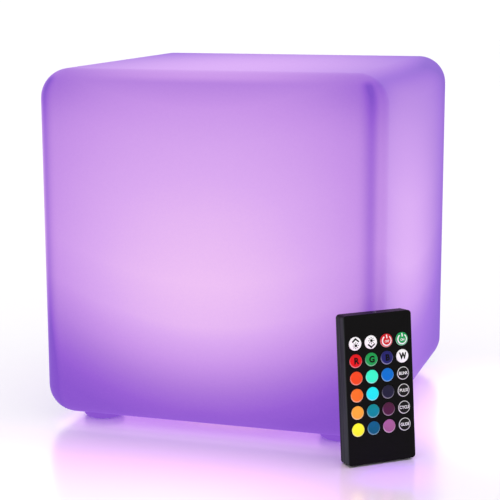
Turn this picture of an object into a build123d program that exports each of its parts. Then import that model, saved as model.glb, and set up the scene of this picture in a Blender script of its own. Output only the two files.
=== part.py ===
from build123d import *
from math import cos, radians, sin, sqrt
import os

# A glowing cube light and the small remote that leans on its near edge, in millimetres.
# The light stands on the floor at z = 0 with its middle over the origin: -Y is the front,
# +X is the right side and +Z is up. The remote has its own plane further down.

os.makedirs("parts", exist_ok=True)

# ---------------------------------------------------------------------------
# Driving dimensions of the cube
# ---------------------------------------------------------------------------

# Moulded shell
side = 200.0
edge_radius = 17.0
wall = 3.0
foot_height = 4.8
foot_radius = 12.0
foot_round = 3.4
foot_spacing = 144.0

# Recess in the underside, and the bore that the base unit goes up through
recess_radius = 62.0
recess_depth = 12.0
recess_lip = 2.5
level_tolerance = 0.01
bore_radius = 50.0
seat_boss_radius = 4.5
seat_boss_height = 8.0

# Base unit: flange, tub and the posts inside it
flange_thickness = 4.0
flange_clearance = 0.5
gasket_thickness = 1.5
gasket_clearance = 0.3
tub_clearance = 0.4
tub_wall = 2.5
post_height = 28.0
post_radius = 4.0
post_merge = 0.6
post_count = 4
rim_rise = 1.0

# Screws of the cube: shank radius, head radius, head height, and length under the head
base_screw_count = 6
base_screw_radius = 1.5
base_screw_head = 2.8
base_screw_head_height = 1.8
base_screw_length = 12.0
dome_screw_radius = 1.5
dome_screw_head = 2.6
dome_screw_head_height = 2.0
dome_screw_length = 14.0
small_screw_radius = 1.0
small_screw_head = 1.9
small_screw_head_height = 1.2
small_screw_length = 6.0
strap_screw_length = 4.4
thread_clearance = 0.05
hole_clearance = 0.25
screw_end_clearance = 0.6
head_round_share = 1 / 3
slot_width_share = 1 / 5
slot_depth_share = 1 / 2

# Diffuser dome over the emitters
dome_flange_thickness = 2.4
dome_radius = 39.0
dome_height = 16.0
dome_wall = 2.0
dome_arc_turn = 20.0
seal_thickness = 1.2
seal_margin = 0.2
pad_clearance = 0.3

# Boards and what is on them
board_thickness = 1.6
board_clearance = 0.5
control_board_width = 68.0
control_board_depth = 24.0
control_board_gap = 4.0
standoff_height = 6.0
standoff_radius = 2.6
standoff_inset_x = 4.0
standoff_inset_y = 3.0
emitter_size = 5.0
emitter_height = 1.6
outer_emitter_circle = 28.0
outer_emitter_count = 12
inner_emitter_circle = 14.0
inner_emitter_count = 6
receiver_width = 6.0
receiver_depth = 5.0
receiver_height = 7.0
receiver_round = 0.8
link_width = 10.0
link_depth = 2.5
link_end_margin = 15.0
link_edge_margin = 2.0
chip_height = 1.2
coil_height = 3.0

# Cell, its cradle, strap and contacts
cell_radius = 9.2
cell_length = 65.0
cell_end_round = 0.6
cell_lift = 1.0
cell_clearance = 0.2
cradle_rib_thickness = 2.4
cradle_rib_spacing = 40.0
cradle_rib_width = 20.0
strap_width = 12.0
strap_thickness = 1.6
strap_foot_length = 6.5
strap_middle_gap = 2.5
contact_thickness = 0.4
contact_width = 8.0
contact_height = 8.0
contact_arm_height = 4.0
contact_arm_overlap = 2.0

# Controls in the floor of the base
control_spacing = 16.0
button_radius = 6.0
button_clearance = 0.1
button_flange_radius = 7.6
button_flange_thickness = 1.2
button_rise = 0.8
button_travel = 0.8
button_round = 0.5
stop_clearance = 0.1
switch_size = 6.0
switch_height = 3.2
plunger_radius = 1.7
window_radius = 1.5
window_clearance = 0.05
window_collar_radius = 2.4
window_collar_thickness = 0.8
window_length_above = 3.6
status_led_width = 3.2
status_led_depth = 1.6
status_led_height = 1.2

# Charging socket and its hinged cover
socket_width = 8.94
socket_depth = 3.26
socket_wall = 0.3
socket_end_flat = 0.15
socket_bore_depth = 6.2
socket_clearance = 0.25
tongue_width = 6.7
tongue_thickness = 0.7
tongue_setback = 1.2
cover_width = 15.6
cover_depth = 10.0
cover_thickness = 1.6
cover_clearance = 0.2
cover_pad_width = 7.4
cover_pad_depth = 1.6
cover_pad_height = 0.5
cover_pad_corner = 0.6
cover_pin_radius = 0.4
cover_pin_length = 1.0
pin_clearance = 0.05
pin_end_clearance = 0.2

# ---------------------------------------------------------------------------
# Driving dimensions of the remote
# ---------------------------------------------------------------------------

remote_width = 40.0
remote_length = 80.0
remote_thickness = 10.0
remote_wall = 1.2
remote_corner = 2.0
remote_inner_corner = 0.8
remote_front_round = 0.5
remote_back_round = 0.8
remote_parting = 5.0

# How it stands: turned from the front towards the right side, and tipped back on the cube
remote_turn = 40.0
remote_lean = 6.0
remote_gap = 0.3
remote_shift = -1.0

# Keys
key_columns = 4
key_rows = 6
key_pitch = 9.2
key_radius = 3.55
key_clearance = 0.1
key_foot_radius = 3.95
key_foot_depth = 0.65
key_edge_rise = 0.2
key_crown = 0.75
key_travel = 0.5
keypad_top_share = 2 / 7

# Keymat, snap domes and board
mat_thickness = 0.4
mat_margin = 1.2
mat_clearance = 0.3
mat_corner = 1.2
bump_radius = 2.0
snap_radius = 2.2
snap_height = 0.3
snap_edge = 0.1
remote_board_thickness = 1.0
remote_board_height = 5.5
remote_board_clearance = 0.4
remote_board_end = 4.0
remote_chip_size = 8.0
remote_chip_height = 1.1
remote_chip_margin = 20.0

# Remote screws and their bosses
remote_screw_radius = 0.8
remote_screw_head = 1.6
remote_screw_head_height = 1.1
remote_screw_sink = 0.3
remote_screw_length = 6.6
remote_boss_radius = 2.5
remote_boss_inset_x = 5.2
remote_boss_inset_y = 6.0

# Emitter in the remote's top end
ir_radius = 1.5
ir_length = 6.6
ir_collar_radius = 1.9
ir_collar_length = 1.0
ir_out = 0.5
ir_clearance = 0.1
ir_leg_pitch = 2.54
ir_leg_size = 0.5
ir_leg_overlap = 2.0

# Coin cell, its frame and contacts, and the sliding door
coin_radius = 10.0
coin_thickness = 3.2
coin_clearance = 0.3
coin_from_bottom = 27.0
door_width = 21.6
door_length = 28.0
door_clearance = 0.2
door_slot_clearance = 0.1
door_lip = 1.0
door_lip_thickness = 0.6
door_travel = 6.0
door_grip_count = 4
door_grip_depth = 0.4
door_grip_width = 0.8
door_grip_pitch = 2.0
frame_bar = 1.1
frame_margin = 1.9
ledge_thickness = 0.9
coin_contact_width = 6.0
coin_contact_inset = 1.0
coin_leaf_thickness = 0.2
coin_leaf_width = 1.8
coin_leaf_lift = 0.6

# ---------------------------------------------------------------------------
# Levels and sizes that follow from them
# ---------------------------------------------------------------------------

body_bottom = foot_height
seat_underside = body_bottom + recess_depth
seat_top = seat_underside + wall
screw_circle = (bore_radius + recess_radius) / 2

flange_radius = recess_radius - flange_clearance
flange_top = seat_underside - gasket_thickness
flange_bottom = flange_top - flange_thickness
tub_outer = bore_radius - tub_clearance
tub_inner = tub_outer - tub_wall
post_circle = tub_inner - post_radius + post_merge
post_top = flange_top + post_height
led_board_top = post_top + board_thickness
rim_top = led_board_top + rim_rise
dome_flange_bottom = rim_top + seal_thickness
dome_flange_top = dome_flange_bottom + dome_flange_thickness
dome_top = dome_flange_top + dome_height

control_board_y = -(control_board_gap + control_board_depth / 2)
control_board_bottom = flange_top + standoff_height
control_board_top = control_board_bottom + board_thickness
standoff_spacing_x = control_board_width - 2 * standoff_inset_x
standoff_spacing_y = control_board_depth - 2 * standoff_inset_y

cell_y = strap_middle_gap + strap_foot_length + strap_thickness + cell_clearance + cell_radius
cell_z = flange_top + cell_lift + cell_radius
strap_inner = cell_radius + cell_clearance
strap_outer = strap_inner + strap_thickness
strap_screw_offset = strap_outer + strap_foot_length / 2

link_x = control_board_width / 2 - link_end_margin
control_y = control_board_y
button_x = -control_spacing
window_x = 0.0
port_x = control_spacing
pocket_depth = cover_thickness + cover_clearance
pocket_top = flange_bottom + pocket_depth
hinge_y = control_y + cover_depth / 2 - cover_thickness / 2
hinge_z = flange_bottom + cover_thickness / 2


def screw(radius, head, head_height, length):
    """A pan-head screw that stands on its tip's axis, with the underside of its head at z = 0."""
    with BuildPart() as body:
        with BuildSketch(Plane.XY.offset(-length)):
            Circle(radius)
        extrude(amount=length)
        with BuildSketch(Plane.XY):
            Circle(head)
        extrude(amount=head_height)
        fillet(body.edges().sort_by(Axis.Z)[-1], radius=head_height * head_round_share)
        with BuildSketch(Plane.XY.offset(head_height)):
            Rectangle(head, head * slot_width_share)
            Rectangle(head * slot_width_share, head)
        extrude(amount=-head_height * slot_depth_share, mode=Mode.SUBTRACT)
    return body.part


# ---------------------------------------------------------------------------
# Cube: shell
# ---------------------------------------------------------------------------

with BuildPart() as cavity:
    with BuildSketch(Plane.XY.offset(body_bottom + wall)):
        Rectangle(side - 2 * wall, side - 2 * wall)
    extrude(amount=side - 2 * wall)
    fillet(cavity.edges(), radius=edge_radius - wall)

with BuildPart() as foot:
    with BuildSketch(Plane.XY):
        Circle(foot_radius)
    extrude(amount=body_bottom + wall)
    fillet(foot.edges().sort_by(Axis.Z)[0], radius=foot_round)

with BuildPart() as cube_shell:
    with BuildSketch(Plane.XY.offset(body_bottom)):
        Rectangle(side, side)
    extrude(amount=side)
    fillet(cube_shell.edges(), radius=edge_radius)
    add(cavity.part, mode=Mode.SUBTRACT)

    # Four dome feet, hollow like the rest of the moulding
    with GridLocations(foot_spacing, foot_spacing, 2, 2):
        add(foot.part)
    with BuildSketch(Plane.XY.offset(wall)):
        with GridLocations(foot_spacing, foot_spacing, 2, 2):
            Circle(foot_radius - wall)
    extrude(amount=body_bottom, mode=Mode.SUBTRACT)

    # The recess in the underside is a cup that steps up into the cube
    with BuildSketch(Plane.XY.offset(body_bottom)):
        Circle(recess_radius + wall)
    extrude(amount=recess_depth + wall)
    with BuildSketch(Plane.XY.offset(seat_top)):
        with PolarLocations(screw_circle, base_screw_count):
            Circle(seat_boss_radius)
    extrude(amount=seat_boss_height)
    with BuildSketch(Plane.XY.offset(body_bottom)):
        Circle(recess_radius)
    extrude(amount=recess_depth, mode=Mode.SUBTRACT)
    with BuildSketch(Plane.XY.offset(seat_underside)):
        Circle(bore_radius)
    extrude(amount=wall, mode=Mode.SUBTRACT)
    mouth = cube_shell.edges().filter_by(GeomType.CIRCLE)
    mouth = mouth.filter_by_position(
        Axis.Z, body_bottom - level_tolerance, body_bottom + level_tolerance
    )
    fillet(mouth.sort_by(SortBy.RADIUS)[-1], radius=recess_lip)

    # Blind holes for the base screws
    screw_reach = base_screw_length - (flange_thickness - base_screw_head_height) - gasket_thickness
    with BuildSketch(Plane.XY.offset(seat_underside)):
        with PolarLocations(screw_circle, base_screw_count):
            Circle(base_screw_radius + thread_clearance)
    extrude(amount=screw_reach + screw_end_clearance, mode=Mode.SUBTRACT)
cube_shell.part.label = "cube_shell"
export_step(cube_shell.part, "parts/cube_shell.step")

# ---------------------------------------------------------------------------
# Cube: base unit
# ---------------------------------------------------------------------------

with BuildPart() as base_gasket:
    with BuildSketch(Plane.XY.offset(flange_top)):
        Circle(flange_radius)
        Circle(bore_radius + gasket_clearance, mode=Mode.SUBTRACT)
        with PolarLocations(screw_circle, base_screw_count):
            Circle(base_screw_radius + hole_clearance, mode=Mode.SUBTRACT)
    extrude(amount=gasket_thickness)
base_gasket.part.label = "base_gasket"
export_step(base_gasket.part, "parts/base_gasket.step")

with BuildPart() as base_housing:
    # Flange disc, whose middle is the tub's floor, and the tub's wall
    with BuildSketch(Plane.XY.offset(flange_bottom)):
        Circle(flange_radius)
    extrude(amount=flange_thickness)
    with BuildSketch(Plane.XY.offset(flange_top)):
        Circle(tub_outer)
        Circle(tub_inner, mode=Mode.SUBTRACT)
    extrude(amount=rim_top - flange_top)

    # Posts that carry the LED board and take the dome screws
    with BuildSketch(Plane.XY.offset(flange_top)):
        with PolarLocations(post_circle, post_count):
            Circle(post_radius)
    extrude(amount=post_height)
    with BuildSketch(Plane.XY.offset(post_top)):
        Circle(tub_inner)
    extrude(amount=rim_top - post_top, mode=Mode.SUBTRACT)
    dome_screw_reach = dome_screw_length - (dome_flange_top - post_top)
    with BuildSketch(Plane.XY.offset(post_top)):
        with PolarLocations(post_circle, post_count):
            Circle(dome_screw_radius + thread_clearance)
    extrude(amount=-(dome_screw_reach + screw_end_clearance), mode=Mode.SUBTRACT)

    # Standoffs for the control board
    with BuildSketch(Plane.XY.offset(flange_top)):
        with Locations((0, control_board_y)):
            with GridLocations(standoff_spacing_x, standoff_spacing_y, 2, 2):
                Circle(standoff_radius)
    extrude(amount=standoff_height)
    board_screw_reach = small_screw_length - board_thickness
    with BuildSketch(Plane.XY.offset(control_board_bottom)):
        with Locations((0, control_board_y)):
            with GridLocations(standoff_spacing_x, standoff_spacing_y, 2, 2):
                Circle(small_screw_radius + thread_clearance)
    extrude(amount=-(board_screw_reach + screw_end_clearance), mode=Mode.SUBTRACT)

    # Two cradle ribs with a round saddle for the cell
    with BuildSketch(Plane.XY.offset(flange_top)):
        with Locations((0, cell_y)):
            with GridLocations(cradle_rib_spacing, 1, 2, 1):
                Rectangle(cradle_rib_thickness, cradle_rib_width)
    extrude(amount=cell_z - flange_top)
    with BuildSketch(Plane.YZ):
        with Locations((cell_y, cell_z)):
            Circle(cell_radius + cell_clearance)
    extrude(amount=(cradle_rib_spacing + cradle_rib_thickness) / 2, both=True, mode=Mode.SUBTRACT)

    # Blind holes for the strap screws
    strap_screw_reach = strap_screw_length - strap_thickness
    with BuildSketch(Plane.XY.offset(flange_top)):
        with Locations((0, cell_y - strap_screw_offset), (0, cell_y + strap_screw_offset)):
            Circle(small_screw_radius + thread_clearance)
    extrude(amount=-(strap_screw_reach + screw_end_clearance), mode=Mode.SUBTRACT)

    # Base screw holes, with their heads sunk into the flange from below
    with BuildSketch(Plane.XY.offset(flange_bottom)):
        with PolarLocations(screw_circle, base_screw_count):
            Circle(base_screw_radius + hole_clearance)
    extrude(amount=flange_thickness, mode=Mode.SUBTRACT)
    with BuildSketch(Plane.XY.offset(flange_bottom)):
        with PolarLocations(screw_circle, base_screw_count):
            Circle(base_screw_head + hole_clearance)
    extrude(amount=base_screw_head_height, mode=Mode.SUBTRACT)

    # Openings for the button, the status window and the charging socket
    with BuildSketch(Plane.XY.offset(flange_bottom)):
        with Locations((button_x, control_y)):
            Circle(button_radius + button_clearance)
        with Locations((window_x, control_y)):
            Circle(window_radius + window_clearance)
        with Locations((port_x, control_y)):
            RectangleRounded(
                socket_width + 2 * socket_clearance,
                socket_depth + 2 * socket_clearance,
                socket_depth / 2,
            )
    extrude(amount=flange_thickness, mode=Mode.SUBTRACT)

    # Pocket for the port cover, with a pin hole in each of its side walls
    with BuildSketch(Plane.XY.offset(flange_bottom)):
        with Locations((port_x, control_y)):
            Rectangle(cover_width + 2 * cover_clearance, cover_depth + 2 * cover_clearance)
    extrude(amount=pocket_depth, mode=Mode.SUBTRACT)
    with BuildSketch(Plane.YZ.offset(port_x)):
        with Locations((hinge_y, hinge_z)):
            Circle(cover_pin_radius + pin_clearance)
    extrude(
        amount=cover_width / 2 + cover_pin_length + pin_end_clearance,
        both=True,
        mode=Mode.SUBTRACT,
    )
base_housing.part.label = "base_housing"
export_step(base_housing.part, "parts/base_housing.step")

base_screw = screw(base_screw_radius, base_screw_head, base_screw_head_height, base_screw_length)
with BuildPart() as base_screws:
    head_plane = Plane.XY.offset(flange_bottom + base_screw_head_height)
    with Locations(head_plane):
        with PolarLocations(screw_circle, base_screw_count):
            add(base_screw, rotation=(180, 0, 0))
base_screws.part.label = "base_screws"
export_step(base_screws.part, "parts/base_screws.step")

# ---------------------------------------------------------------------------
# Cube: controls and charging socket in the floor of the base
# ---------------------------------------------------------------------------

button_flange_bottom = flange_top + thread_clearance
button_top = button_flange_bottom + button_flange_thickness
with BuildPart() as power_button:
    with BuildSketch(Plane.XY.offset(flange_bottom - button_rise)):
        with Locations((button_x, control_y)):
            Circle(button_radius)
    extrude(amount=button_flange_bottom - (flange_bottom - button_rise))
    fillet(power_button.edges().sort_by(Axis.Z)[0], radius=button_round)
    with BuildSketch(Plane.XY.offset(button_flange_bottom)):
        with Locations((button_x, control_y)):
            Circle(button_flange_radius)
    extrude(amount=button_flange_thickness)
power_button.part.label = "power_button"
export_step(power_button.part, "parts/power_button.step")

with BuildPart() as power_switch:
    with BuildSketch(Plane.XY.offset(control_board_bottom)):
        with Locations((button_x, control_y)):
            Rectangle(switch_size, switch_size)
    extrude(amount=-switch_height)
    switch_bottom = control_board_bottom - switch_height
    plunger_length = switch_bottom - (button_top + button_travel + stop_clearance)
    with BuildSketch(Plane.XY.offset(switch_bottom)):
        with Locations((button_x, control_y)):
            Circle(plunger_radius)
    extrude(amount=-plunger_length)
power_switch.part.label = "power_switch"
export_step(power_switch.part, "parts/power_switch.step")

with BuildPart() as status_window:
    with BuildSketch(Plane.XY.offset(flange_bottom)):
        with Locations((window_x, control_y)):
            Circle(window_radius)
    extrude(amount=flange_thickness + window_length_above)
    with BuildSketch(Plane.XY.offset(flange_top)):
        with Locations((window_x, control_y)):
            Circle(window_collar_radius)
    extrude(amount=window_collar_thickness)
status_window.part.label = "status_window"
export_step(status_window.part, "parts/status_window.step")

with BuildPart() as status_led:
    with BuildSketch(Plane.XY.offset(control_board_bottom)):
        with Locations((window_x, control_y)):
            Rectangle(status_led_width, status_led_depth)
    extrude(amount=-status_led_height)
status_led.part.label = "status_led"
export_step(status_led.part, "parts/status_led.step")

with BuildPart() as charge_socket:
    with BuildSketch(Plane.XY.offset(pocket_top)):
        with Locations((port_x, control_y)):
            RectangleRounded(socket_width, socket_depth, socket_depth / 2 - socket_end_flat)
    extrude(amount=control_board_bottom - pocket_top)
    with BuildSketch(Plane.XY.offset(pocket_top)):
        with Locations((port_x, control_y)):
            RectangleRounded(
                socket_width - 2 * socket_wall,
                socket_depth - 2 * socket_wall,
                socket_depth / 2 - socket_wall - socket_end_flat,
            )
    extrude(amount=socket_bore_depth, mode=Mode.SUBTRACT)
    with BuildSketch(Plane.XY.offset(pocket_top + tongue_setback)):
        with Locations((port_x, control_y)):
            Rectangle(tongue_width, tongue_thickness)
    extrude(amount=socket_bore_depth - tongue_setback)
charge_socket.part.label = "charge_socket"
export_step(charge_socket.part, "parts/charge_socket.step")

# The cover is a flap whose hinged edge is round about its pins
with BuildPart() as port_cover:
    with BuildSketch(Plane.YZ.offset(port_x)):
        with Locations((hinge_y, hinge_z)):
            Circle(cover_thickness / 2)
        with Locations((hinge_y - (cover_depth - cover_thickness / 2) / 2, hinge_z)):
            Rectangle(cover_depth - cover_thickness / 2, cover_thickness)
    extrude(amount=cover_width / 2, both=True)
    with BuildSketch(Plane.YZ.offset(port_x)):
        with Locations((hinge_y, hinge_z)):
            Circle(cover_pin_radius)
    extrude(amount=cover_width / 2 + cover_pin_length, both=True)
    with BuildSketch(Plane.XY.offset(flange_bottom + cover_thickness)):
        with Locations((port_x, control_y)):
            RectangleRounded(cover_pad_width, cover_pad_depth, cover_pad_corner)
    extrude(amount=cover_pad_height)
port_cover.part.label = "port_cover"
export_step(port_cover.part, "parts/port_cover.step")

# ---------------------------------------------------------------------------
# Cube: control board, cell and what holds them
# ---------------------------------------------------------------------------

with BuildPart() as control_board:
    with BuildSketch(Plane.XY.offset(control_board_bottom)):
        with Locations((0, control_board_y)):
            Rectangle(control_board_width, control_board_depth)
            with GridLocations(standoff_spacing_x, standoff_spacing_y, 2, 2):
                Circle(small_screw_radius + hole_clearance, mode=Mode.SUBTRACT)
    extrude(amount=board_thickness)
control_board.part.label = "control_board"
export_step(control_board.part, "parts/control_board.step")

small_screw = screw(small_screw_radius, small_screw_head, small_screw_head_height, small_screw_length)
with BuildPart() as control_board_screws:
    with Locations(Plane.XY.offset(control_board_top)):
        with Locations((0, control_board_y)):
            with GridLocations(standoff_spacing_x, standoff_spacing_y, 2, 2):
                add(small_screw)
control_board_screws.part.label = "control_board_screws"
export_step(control_board_screws.part, "parts/control_board_screws.step")

# Controller, charger and coil on the board's top: place along the board, width, depth, height
chips = [
    (-15.0, 8.0, 8.0, chip_height),
    (-3.0, 5.0, 6.0, chip_height),
    (7.0, 6.0, 6.0, coil_height),
]
with BuildPart() as board_chips:
    for chip_x, chip_width, chip_depth, height in chips:
        with BuildSketch(Plane.XY.offset(control_board_top)):
            with Locations((chip_x, control_board_y)):
                Rectangle(chip_width, chip_depth)
        extrude(amount=height)
board_chips.part.label = "board_chips"
export_step(board_chips.part, "parts/board_chips.step")

with BuildPart() as battery_cell:
    with BuildSketch(Plane.YZ):
        with Locations((cell_y, cell_z)):
            Circle(cell_radius)
    extrude(amount=cell_length / 2, both=True)
    fillet(battery_cell.edges(), radius=cell_end_round)
battery_cell.part.label = "battery_cell"
export_step(battery_cell.part, "parts/battery_cell.step")

# A bent strip at each end of the cell, with an arm that rests on the control board
arm_end = control_board_y + control_board_depth / 2 - contact_arm_overlap
arm_start = cell_y + contact_width / 2
with BuildPart() as battery_contacts:
    for end in (-1, 1):
        with BuildSketch(Plane.YZ.offset(end * cell_length / 2)):
            with Locations((cell_y, cell_z)):
                Rectangle(contact_width, contact_height)
            with Locations(((arm_end + arm_start) / 2, control_board_top + contact_arm_height / 2)):
                Rectangle(arm_start - arm_end, contact_arm_height)
        extrude(amount=end * contact_thickness)
battery_contacts.part.label = "battery_contacts"
export_step(battery_contacts.part, "parts/battery_contacts.step")

with BuildPart() as battery_strap:
    with BuildSketch(Plane.YZ):
        with Locations((cell_y, cell_z)):
            Circle(strap_outer)
        with Locations((cell_y, (flange_top + cell_z) / 2)):
            Rectangle(2 * strap_outer, cell_z - flange_top)
        with Locations((cell_y, flange_top + strap_thickness / 2)):
            Rectangle(2 * (strap_outer + strap_foot_length), strap_thickness)
        with Locations((cell_y, cell_z)):
            Circle(strap_inner, mode=Mode.SUBTRACT)
        with Locations((cell_y, (flange_top + cell_z) / 2)):
            Rectangle(2 * strap_inner, cell_z - flange_top, mode=Mode.SUBTRACT)
        with Locations((cell_y, flange_top - strap_outer)):
            Rectangle(2 * strap_outer, 2 * strap_outer, mode=Mode.SUBTRACT)
    extrude(amount=strap_width / 2, both=True)
    with BuildSketch(Plane.XY.offset(flange_top)):
        with Locations((0, cell_y - strap_screw_offset), (0, cell_y + strap_screw_offset)):
            Circle(small_screw_radius + hole_clearance)
    extrude(amount=strap_thickness, mode=Mode.SUBTRACT)
battery_strap.part.label = "battery_strap"
export_step(battery_strap.part, "parts/battery_strap.step")

strap_screw = screw(small_screw_radius, small_screw_head, small_screw_head_height, strap_screw_length)
with BuildPart() as battery_strap_screws:
    with Locations(Plane.XY.offset(flange_top + strap_thickness)):
        with Locations((0, cell_y - strap_screw_offset), (0, cell_y + strap_screw_offset)):
            add(strap_screw)
battery_strap_screws.part.label = "battery_strap_screws"
export_step(battery_strap_screws.part, "parts/battery_strap_screws.step")

# ---------------------------------------------------------------------------
# Cube: LED board and diffuser dome
# ---------------------------------------------------------------------------

with BuildPart() as board_link:
    link_y = control_board_y - control_board_depth / 2 + link_edge_margin + link_depth / 2
    with BuildSketch(Plane.XY.offset(control_board_top)):
        with Locations((link_x, link_y)):
            Rectangle(link_width, link_depth)
    extrude(amount=post_top - control_board_top)
board_link.part.label = "board_link"
export_step(board_link.part, "parts/board_link.step")

with BuildPart() as led_board:
    with BuildSketch(Plane.XY.offset(post_top)):
        Circle(tub_inner - board_clearance)
        with PolarLocations(post_circle, post_count):
            Circle(dome_screw_radius + hole_clearance, mode=Mode.SUBTRACT)
    extrude(amount=board_thickness)
led_board.part.label = "led_board"
export_step(led_board.part, "parts/led_board.step")

with BuildPart() as led_emitters:
    with BuildSketch(Plane.XY.offset(led_board_top)):
        with PolarLocations(outer_emitter_circle, outer_emitter_count):
            Rectangle(emitter_size, emitter_size)
        with PolarLocations(inner_emitter_circle, inner_emitter_count):
            Rectangle(emitter_size, emitter_size)
    extrude(amount=emitter_height)
led_emitters.part.label = "led_emitters"
export_step(led_emitters.part, "parts/led_emitters.step")

with BuildPart() as ir_receiver:
    with BuildSketch(Plane.XY.offset(led_board_top)):
        Rectangle(receiver_width, receiver_depth)
    extrude(amount=receiver_height)
    fillet(ir_receiver.edges().group_by(Axis.Z)[-1], radius=receiver_round)
ir_receiver.part.label = "ir_receiver"
export_step(ir_receiver.part, "parts/ir_receiver.step")

with BuildPart() as dome_seal:
    with BuildSketch(Plane.XY.offset(rim_top)):
        Circle(tub_outer - seal_margin)
        Circle(tub_inner + seal_margin, mode=Mode.SUBTRACT)
    extrude(amount=seal_thickness)
dome_seal.part.label = "dome_seal"
export_step(dome_seal.part, "parts/dome_seal.step")

# The dome is part of a sphere with its rim turned out into a flat flange
sphere_radius = (dome_radius**2 + dome_height**2) / (2 * dome_height)
sphere_z = dome_top - sphere_radius
inner_sphere = sphere_radius - dome_wall
inner_mouth = sqrt(inner_sphere**2 - (dome_flange_bottom - sphere_z) ** 2)
on_arc = radians(dome_arc_turn)
half_outer = sphere_radius * sin(on_arc)
half_inner = inner_sphere * sin(on_arc)
with BuildPart() as diffuser_dome:
    with BuildSketch(Plane.XZ):
        with BuildLine():
            Polyline(
                (inner_mouth, dome_flange_bottom),
                (tub_outer, dome_flange_bottom),
                (tub_outer, dome_flange_top),
                (dome_radius, dome_flange_top),
            )
            ThreePointArc(
                (dome_radius, dome_flange_top),
                (half_outer, sphere_z + sphere_radius * cos(on_arc)),
                (0, dome_top),
            )
            Line((0, dome_top), (0, dome_top - dome_wall))
            ThreePointArc(
                (0, dome_top - dome_wall),
                (half_inner, sphere_z + inner_sphere * cos(on_arc)),
                (inner_mouth, dome_flange_bottom),
            )
        make_face()
    revolve(axis=Axis.Z)
    # Pads that press the LED board down on its posts, and the screw holes through them
    with BuildSketch(Plane.XY.offset(dome_flange_bottom)):
        with PolarLocations(post_circle, post_count):
            Circle(post_radius - post_merge - pad_clearance)
    extrude(amount=led_board_top - dome_flange_bottom)
    with BuildSketch(Plane.XY.offset(dome_flange_top)):
        with PolarLocations(post_circle, post_count):
            Circle(dome_screw_radius + hole_clearance)
    extrude(amount=led_board_top - dome_flange_top, mode=Mode.SUBTRACT)
diffuser_dome.part.label = "diffuser_dome"
export_step(diffuser_dome.part, "parts/diffuser_dome.step")

dome_screw = screw(dome_screw_radius, dome_screw_head, dome_screw_head_height, dome_screw_length)
with BuildPart() as dome_screws:
    with Locations(Plane.XY.offset(dome_flange_top)):
        with PolarLocations(post_circle, post_count):
            add(dome_screw)
dome_screws.part.label = "dome_screws"
export_step(dome_screws.part, "parts/dome_screws.step")

# ---------------------------------------------------------------------------
# Remote: its plane. X runs across the face to the right, Y up the face and Z out of it.
# The origin is the middle of the sharp lower back edge.
# ---------------------------------------------------------------------------

turn = radians(remote_turn)
lean = radians(remote_lean)
edge_axis = side / 2 - edge_radius
tip_back = (remote_length - remote_back_round) * sin(lean)
back_offset = (
    edge_radius + remote_gap + tip_back + remote_back_round - remote_back_round * cos(lean)
)
remote_plane = Plane(
    origin=(
        edge_axis + back_offset * sin(turn) + remote_shift * cos(turn),
        -edge_axis - back_offset * cos(turn) + remote_shift * sin(turn),
        remote_back_round * (1 - cos(lean) - sin(lean)),
    ),
    x_dir=(cos(turn), sin(turn), 0),
    z_dir=(sin(turn) * cos(lean), -cos(turn) * cos(lean), sin(lean)),
)

face_inside = remote_thickness - remote_wall
middle = remote_length / 2
key_bottom = face_inside - key_foot_depth
key_edge = remote_thickness + key_edge_rise
key_taper = (key_foot_radius - key_radius) / (key_edge - key_bottom)
hole_mouth = key_radius + key_taper * key_edge_rise + key_clearance
hole_foot = hole_mouth + key_taper * remote_wall
remote_board_top = remote_board_height + remote_board_thickness
mat_bottom = remote_board_top + snap_height
mat_top = mat_bottom + mat_thickness
bump_top = key_bottom - key_travel - pin_clearance
door_middle = coin_from_bottom + frame_bar
lip_bottom = remote_wall + door_slot_clearance
lip_top = lip_bottom + door_lip_thickness
frame_bottom = lip_top + door_slot_clearance
frame_top = remote_board_height - door_slot_clearance
slot_width = door_width + 2 * door_clearance
lip_width = door_width + 2 * door_lip
frame_width = lip_width + 2 * door_clearance + 2 * frame_bar
frame_length = 2 * (coin_radius + coin_clearance + frame_margin)
coin_bottom = frame_bottom + door_slot_clearance
boss_spacing_x = remote_width - 2 * remote_boss_inset_x
boss_spacing_y = remote_length - 2 * remote_boss_inset_y
keypad_height = (key_rows - 1) * key_pitch
key_to_boss = key_foot_radius + remote_boss_radius
keypad_spare = boss_spacing_y - 2 * key_to_boss - keypad_height
top_row = remote_length - remote_boss_inset_y - key_to_boss - keypad_top_share * keypad_spare
keypad_middle = top_row - keypad_height / 2
board_width = remote_width - 2 * remote_wall - 2 * remote_board_clearance
board_length = remote_length - 2 * remote_board_end
ir_height = remote_board_height + remote_board_thickness / 2
ir_tip = remote_length + ir_out
ir_foot = ir_tip - ir_length
notch_width = 2 * (ir_collar_radius + ir_clearance)
notch_start = ir_foot - ir_clearance


def remote_slab(height, x, y, width, length, corner=0.0):
    """A rectangle sketched on the remote's plane at a height above its back, by its middle."""
    with BuildSketch(remote_plane.offset(height)) as slab:
        with Locations((x, y)):
            if corner > 0:
                RectangleRounded(width, length, corner)
            else:
                Rectangle(width, length)
    return slab.sketch


def key_places():
    """Each key's place on the remote's face, row by row from the top left."""
    for row in range(key_rows):
        for column in range(key_columns):
            x = (column - (key_columns - 1) / 2) * key_pitch
            yield row, column, x, top_row - row * key_pitch


def upright(x, y):
    """The plane through a key's middle that holds the way it is pressed as its Y direction."""
    return Plane(
        origin=remote_plane.from_local_coords((x, y, 0)),
        x_dir=remote_plane.x_dir,
        z_dir=-remote_plane.y_dir,
    )


end_plane = Plane(
    origin=remote_plane.from_local_coords((0, 0, ir_height)),
    x_dir=remote_plane.x_dir,
    z_dir=remote_plane.y_dir,
)

# ---------------------------------------------------------------------------
# Remote: case
# ---------------------------------------------------------------------------

key_hole_places = [(x, y) for row, column, x, y in key_places()]

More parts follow.
